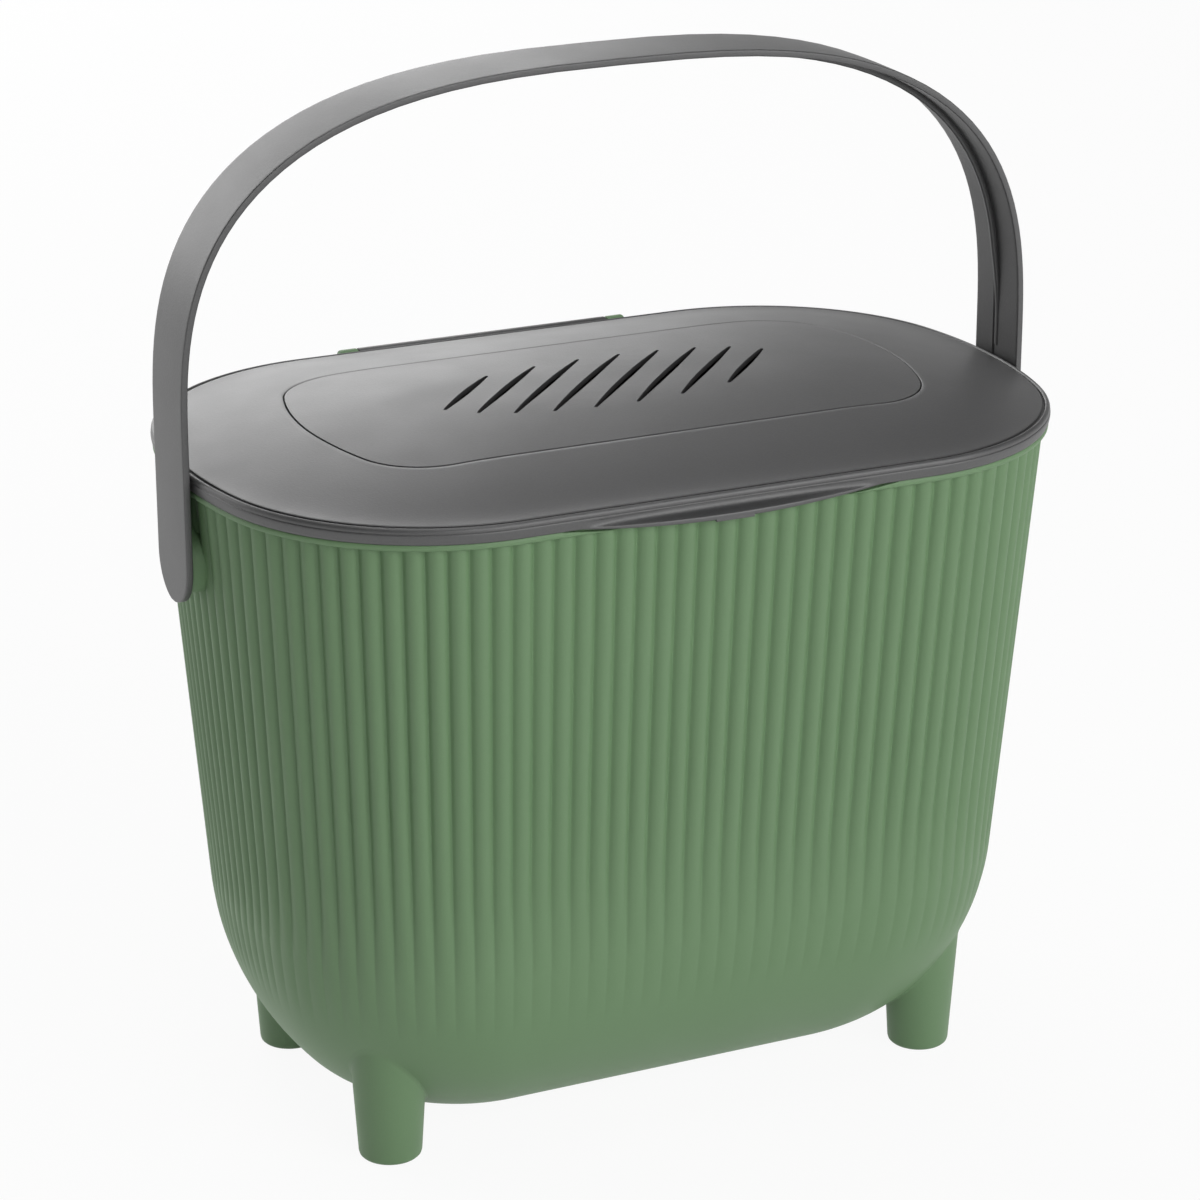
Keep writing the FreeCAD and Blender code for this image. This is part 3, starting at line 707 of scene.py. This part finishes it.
def moulded_grain():
    """Fine spark-eroded texture of a moulding, with a faint unevenness of tone and polish."""
    group = bpy.data.node_groups.new("moulded_grain", "ShaderNodeTree")
    sockets = (
        ("Colour", "INPUT", "NodeSocketColor"),
        ("Mottle", "INPUT", "NodeSocketFloat"),
        ("Roughness", "INPUT", "NodeSocketFloat"),
        ("Colour", "OUTPUT", "NodeSocketColor"),
        ("Roughness", "OUTPUT", "NodeSocketFloat"),
        ("Height", "OUTPUT", "NodeSocketFloat"),
    )
    for name, direction, kind in sockets:
        group.interface.new_socket(name, in_out=direction, socket_type=kind)
    nodes, links = group.nodes, group.links
    given = nodes.new("NodeGroupInput")
    given.location = (-700, 0)
    result = nodes.new("NodeGroupOutput")
    result.location = (500, 0)
    where = nodes.new("ShaderNodeTexCoord")
    where.location = (-900, -200)

    def noise(scale, detail, y):
        made = nodes.new("ShaderNodeTexNoise")
        made.inputs["Scale"].default_value = scale
        made.inputs["Detail"].default_value = detail
        made.location = (-600, y)
        links.new(where.outputs["Object"], made.inputs["Vector"])
        return made

    fine = noise(FINE_GRAIN, 3, -200)
    broad = noise(BROAD_GRAIN, 4, -450)
    swing = nodes.new("ShaderNodeMath")
    swing.operation = "SUBTRACT"
    swing.inputs[1].default_value = 0.5
    swing.location = (-380, -300)
    links.new(fine.outputs["Fac"], swing.inputs[0])
    amount = nodes.new("ShaderNodeMath")
    amount.operation = "MULTIPLY_ADD"
    amount.inputs[2].default_value = 1.0
    amount.location = (-200, -200)
    links.new(swing.outputs[0], amount.inputs[0])
    links.new(given.outputs["Mottle"], amount.inputs[1])
    toned = nodes.new("ShaderNodeVectorMath")
    toned.operation = "SCALE"
    toned.location = (0, 100)
    links.new(given.outputs["Colour"], toned.inputs[0])
    links.new(amount.outputs[0], toned.inputs["Scale"])
    links.new(toned.outputs[0], result.inputs["Colour"])
    polish = nodes.new("ShaderNodeMapRange")
    polish.inputs["To Min"].default_value = -POLISH_SWING
    polish.inputs["To Max"].default_value = POLISH_SWING
    polish.location = (-200, -450)
    links.new(broad.outputs["Fac"], polish.inputs["Value"])
    rough = nodes.new("ShaderNodeMath")
    rough.location = (0, -300)
    links.new(given.outputs["Roughness"], rough.inputs[0])
    links.new(polish.outputs["Result"], rough.inputs[1])
    links.new(rough.outputs[0], result.inputs["Roughness"])
    links.new(fine.outputs["Fac"], result.inputs["Height"])
    return group


def moulded_plastic(name, grain, colour, mottle, roughness, relief, sheen):
    material = bpy.data.materials.new(name)
    material.use_nodes = True
    nodes, links = material.node_tree.nodes, material.node_tree.links
    shader = nodes["Principled BSDF"]
    texture = nodes.new("ShaderNodeGroup")
    texture.node_tree = grain
    texture.location = (-500, 200)
    texture.inputs["Colour"].default_value = (*colour, 1)
    texture.inputs["Mottle"].default_value = mottle
    texture.inputs["Roughness"].default_value = roughness
    shader.inputs["Specular IOR Level"].default_value = sheen
    bump = nodes.new("ShaderNodeBump")
    bump.inputs["Strength"].default_value = relief
    bump.inputs["Distance"].default_value = GRAIN_DEPTH
    bump.location = (-250, -150)
    links.new(texture.outputs["Colour"], shader.inputs["Base Color"])
    links.new(texture.outputs["Roughness"], shader.inputs["Roughness"])
    links.new(texture.outputs["Height"], bump.inputs["Height"])
    links.new(bump.outputs["Normal"], shader.inputs["Normal"])
    return material


def felt(name, colour):
    """Black carbon felt: matted fibres over a rough ground."""
    material = bpy.data.materials.new(name)
    material.use_nodes = True
    nodes, links = material.node_tree.nodes, material.node_tree.links
    shader = nodes["Principled BSDF"]
    where = nodes.new("ShaderNodeTexCoord")
    where.location = (-900, 0)
    fibres = nodes.new("ShaderNodeTexNoise")
    fibres.inputs["Scale"].default_value = 700
    fibres.inputs["Detail"].default_value = 6
    fibres.inputs["Distortion"].default_value = 2.5
    fibres.location = (-700, 0)
    tone = nodes.new("ShaderNodeValToRGB")
    tone.color_ramp.elements[0].color = (*[part * FIBRE_DARK for part in colour], 1)
    tone.color_ramp.elements[1].color = (*[part * FIBRE_BRIGHT for part in colour], 1)
    tone.location = (-450, 150)
    bump = nodes.new("ShaderNodeBump")
    bump.inputs["Distance"].default_value = FIBRE_DEPTH
    bump.location = (-250, -150)
    links.new(where.outputs["Object"], fibres.inputs["Vector"])
    links.new(fibres.outputs["Fac"], tone.inputs["Fac"])
    links.new(tone.outputs["Color"], shader.inputs["Base Color"])
    links.new(fibres.outputs["Fac"], bump.inputs["Height"])
    links.new(bump.outputs["Normal"], shader.inputs["Normal"])
    shader.inputs["Roughness"].default_value = 0.95
    return material


def drawn_steel(name):
    """Bright drawn wire, with fine lines along its length."""
    material = bpy.data.materials.new(name)
    material.use_nodes = True
    nodes, links = material.node_tree.nodes, material.node_tree.links
    shader = nodes["Principled BSDF"]
    shader.inputs["Metallic"].default_value = 1
    where = nodes.new("ShaderNodeTexCoord")
    where.location = (-900, 0)
    along = nodes.new("ShaderNodeMapping")
    along.inputs["Scale"].default_value = (20, 3000, 3000)
    along.location = (-700, 0)
    lines = nodes.new("ShaderNodeTexNoise")
    lines.inputs["Scale"].default_value = 1
    lines.location = (-500, 0)
    tone = nodes.new("ShaderNodeValToRGB")
    tone.color_ramp.elements[0].color = (0.42, 0.42, 0.43, 1)
    tone.color_ramp.elements[1].color = (0.68, 0.68, 0.69, 1)
    tone.location = (-300, 150)
    polish = nodes.new("ShaderNodeMapRange")
    polish.inputs["To Min"].default_value = 0.25
    polish.inputs["To Max"].default_value = 0.45
    polish.location = (-300, -100)
    links.new(where.outputs["Object"], along.inputs["Vector"])
    links.new(along.outputs["Vector"], lines.inputs["Vector"])
    links.new(lines.outputs["Fac"], tone.inputs["Fac"])
    links.new(lines.outputs["Fac"], polish.inputs["Value"])
    links.new(tone.outputs["Color"], shader.inputs["Base Color"])
    links.new(polish.outputs["Result"], shader.inputs["Roughness"])
    return material


def dress_node(node, material):
    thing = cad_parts[node]
    thing.data.materials.clear()
    thing.data.materials.append(material)


def make_stage():
    """A pale floor that shows white but for the soft shadow, and walls that are white low down."""
    skin = bmesh.new()
    bmesh.ops.create_grid(skin, x_segments=1, y_segments=1, size=FLOOR_HALF)
    mesh = bpy.data.meshes.new("floor")
    skin.to_mesh(mesh)
    skin.free()
    floor = bpy.data.objects.new("floor", mesh)
    bpy.context.scene.collection.objects.link(floor)
    material = bpy.data.materials.new("pale_floor")
    material.use_nodes = True
    nodes, links = material.node_tree.nodes, material.node_tree.links
    shader = nodes["Principled BSDF"]
    shader.inputs["Base Color"].default_value = (0.8, 0.8, 0.8, 1)
    shader.inputs["Roughness"].default_value = 0.9
    glow = nodes.new("ShaderNodeEmission")
    glow.location = (0, -300)
    mix = nodes.new("ShaderNodeMixShader")
    mix.location = (300, 0)
    path = nodes.new("ShaderNodeLightPath")
    path.location = (-600, 300)
    seen = path.outputs["Is Camera Ray"]
    for x, ray in ((-400, "Is Glossy Ray"), (-200, "Is Transmission Ray")):
        either = nodes.new("ShaderNodeMath")
        either.operation = "MAXIMUM"
        either.location = (x, 300)
        links.new(seen, either.inputs[0])
        links.new(path.outputs[ray], either.inputs[1])
        seen = either.outputs[0]
    share = nodes.new("ShaderNodeMath")
    share.operation = "MULTIPLY"
    share.inputs[1].default_value = FLOOR_GLOW
    share.location = (0, 300)
    links.new(seen, share.inputs[0])
    links.new(share.outputs[0], mix.inputs["Fac"])
    links.new(shader.outputs[0], mix.inputs[1])
    links.new(glow.outputs[0], mix.inputs[2])
    links.new(mix.outputs[0], nodes["Material Output"].inputs["Surface"])
    mesh.materials.append(material)

    world = bpy.data.worlds.new("studio_walls")
    bpy.context.scene.world = world
    world.use_nodes = True
    nodes, links = world.node_tree.nodes, world.node_tree.links
    where = nodes.new("ShaderNodeTexCoord")
    where.location = (-800, 0)
    split = nodes.new("ShaderNodeSeparateXYZ")
    split.location = (-600, 0)
    upward = nodes.new("ShaderNodeMapRange")
    upward.interpolation_type = "SMOOTHSTEP"
    upward.inputs["From Min"].default_value = 0.1
    upward.inputs["From Max"].default_value = 0.4
    upward.inputs["To Min"].default_value = 0.55
    upward.inputs["To Max"].default_value = 0.02
    upward.location = (-400, 0)
    links.new(where.outputs["Generated"], split.inputs[0])
    links.new(split.outputs["Z"], upward.inputs["Value"])
    links.new(upward.outputs["Result"], nodes["Background"].inputs["Strength"])
    nodes["Background"].inputs["Color"].default_value = (1, 1, 1, 1)


def softbox(name, place, aim_height, side, power):
    """A square light that faces a point on the upright line through the frame's origin."""
    light = bpy.data.lights.new(name, "AREA")
    light.shape = "SQUARE"
    light.size = side
    light.energy = power
    lamp = bpy.data.objects.new(name, light)
    lamp.location = place
    facing = Vector((0, 0, aim_height)) - Vector(place)
    lamp.rotation_euler = facing.to_track_quat("-Z", "Y").to_euler()
    bpy.context.scene.collection.objects.link(lamp)


def make_camera():
    lens = bpy.data.cameras.new("camera")
    lens.sensor_width = 36
    lens.lens = LENS
    camera = bpy.data.objects.new("camera", lens)
    camera.location = CAMERA_PLACE
    camera.rotation_euler = (QUARTER_TURN - math.radians(CAMERA_DOWN), 0, -math.radians(CAMERA_TURN))
    bpy.context.scene.collection.objects.link(camera)
    bpy.context.scene.camera = camera


grain = moulded_grain()
green = moulded_plastic(
    "green_plastic", grain, colour=(0.15, 0.262, 0.128), mottle=0.06, roughness=0.55, relief=0.15, sheen=0.6,
)
grey = moulded_plastic(
    "grey_plastic", grain, colour=(0.06, 0.06, 0.061), mottle=0.45, roughness=0.45, relief=0.5, sheen=1.0,
)
carbon = felt("carbon_felt", (0.012, 0.012, 0.012))
steel = drawn_steel("drawn_steel")

make_bucket(green)
make_lid(grey)
make_cover(grey)
make_filter_pad(carbon)
make_handle(grey)
dress_node("hinge_pin", steel)
dress_node("pivot_stud_left", grey)
dress_node("pivot_stud_right", grey)

make_stage()
softbox("back_left_softbox", (-1.2, 2.2, 1.1), LID_AIM, side=1.6, power=22)
softbox("back_softbox", (0.3, 2.5, 1.1), LID_AIM, side=1.6, power=23)
softbox("back_right_softbox", (1.6, 2.0, 1.1), LID_AIM, side=1.6, power=2)
softbox("top_softbox", (0, 0, 2.4), TOP_AIM, side=1.8, power=19)
softbox("front_softbox", (0.2, -2.2, 1.2), FRONT_AIM, side=1.4, power=16)
softbox("front_right_softbox", (1.3, -1.8, 1.0), FRONT_AIM, side=1.4, power=17)
make_camera()
bpy.context.scene.view_settings.view_transform = "Standard"
